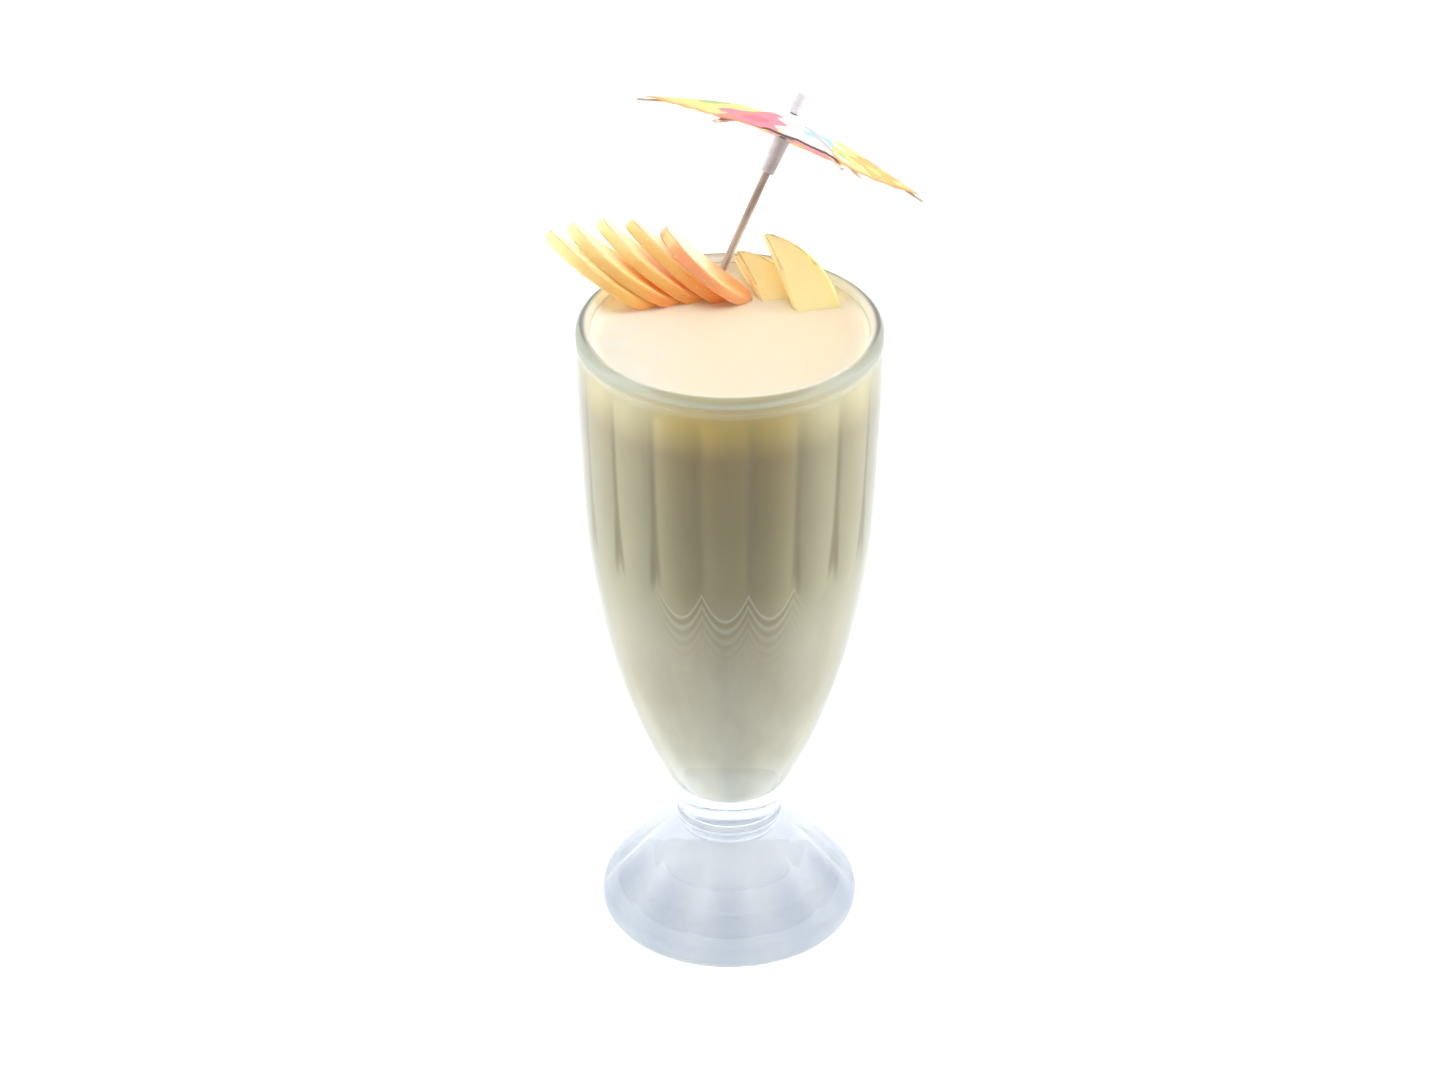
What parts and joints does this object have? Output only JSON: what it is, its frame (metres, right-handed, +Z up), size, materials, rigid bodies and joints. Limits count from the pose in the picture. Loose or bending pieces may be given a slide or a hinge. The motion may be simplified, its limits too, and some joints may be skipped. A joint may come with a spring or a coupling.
{
  "type": "glass of guava juice",
  "caption": "Cream-coloured fruit juice filled to the brim of a footed, fluted fountain glass, topped with half-moon fruit slices and a paper parasol on its pick.",
  "frame": {"origin": "centre of the glass's flat base, on the surface it stands on", "axes": "+Z up the glass's axis, +X to the right as seen from the front, with the fan of slices on the -X side, +Y to the back, where the parasol leans"},
  "size_m": [0.0984, 0.1217, 0.2295],
  "materials": {
    "glass": "clear pressed glass, faintly green-grey where it is thick",
    "juice": "opaque cream-coloured juice with a softly glossy top",
    "fan_fruit": "cream flesh, and a waxy peel that runs from yellow at the tip to orange-red below",
    "upright_fruit": "moist pale yellow flesh with a thin yellow-green peel",
    "canopy_paper": "thin printed paper in yellow, pink and white",
    "plain_paper": "rolled greyish paper, matt",
    "wood": "plain thin wood, satin"
  },
  "bodies": {
    "root": {"glass": "glass", "juice": "juice", "fan_slice_1": "fan_fruit", "fan_slice_2": "fan_fruit", "fan_slice_3": "fan_fruit", "fan_slice_4": "fan_fruit", "fan_slice_5": "fan_fruit", "upright_slice_1": "upright_fruit", "upright_slice_2": "upright_fruit", "upright_slice_3": "upright_fruit", "parasol_pick": "wood", "parasol_cap": "plain_paper", "parasol_canopy": "canopy_paper", "parasol_hub": "wood", "parasol_runner": "wood", "parasol_sleeve": "plain_paper", "parasol_rib_1": "wood", "parasol_rib_2": "wood", "parasol_rib_3": "wood", "parasol_rib_4": "wood", "parasol_rib_5": "wood", "parasol_rib_6": "wood", "parasol_strut_1": "wood", "parasol_strut_2": "wood", "parasol_strut_3": "wood", "parasol_strut_4": "wood", "parasol_strut_5": "wood", "parasol_strut_6": "wood"}
  },
  "joints": []
}
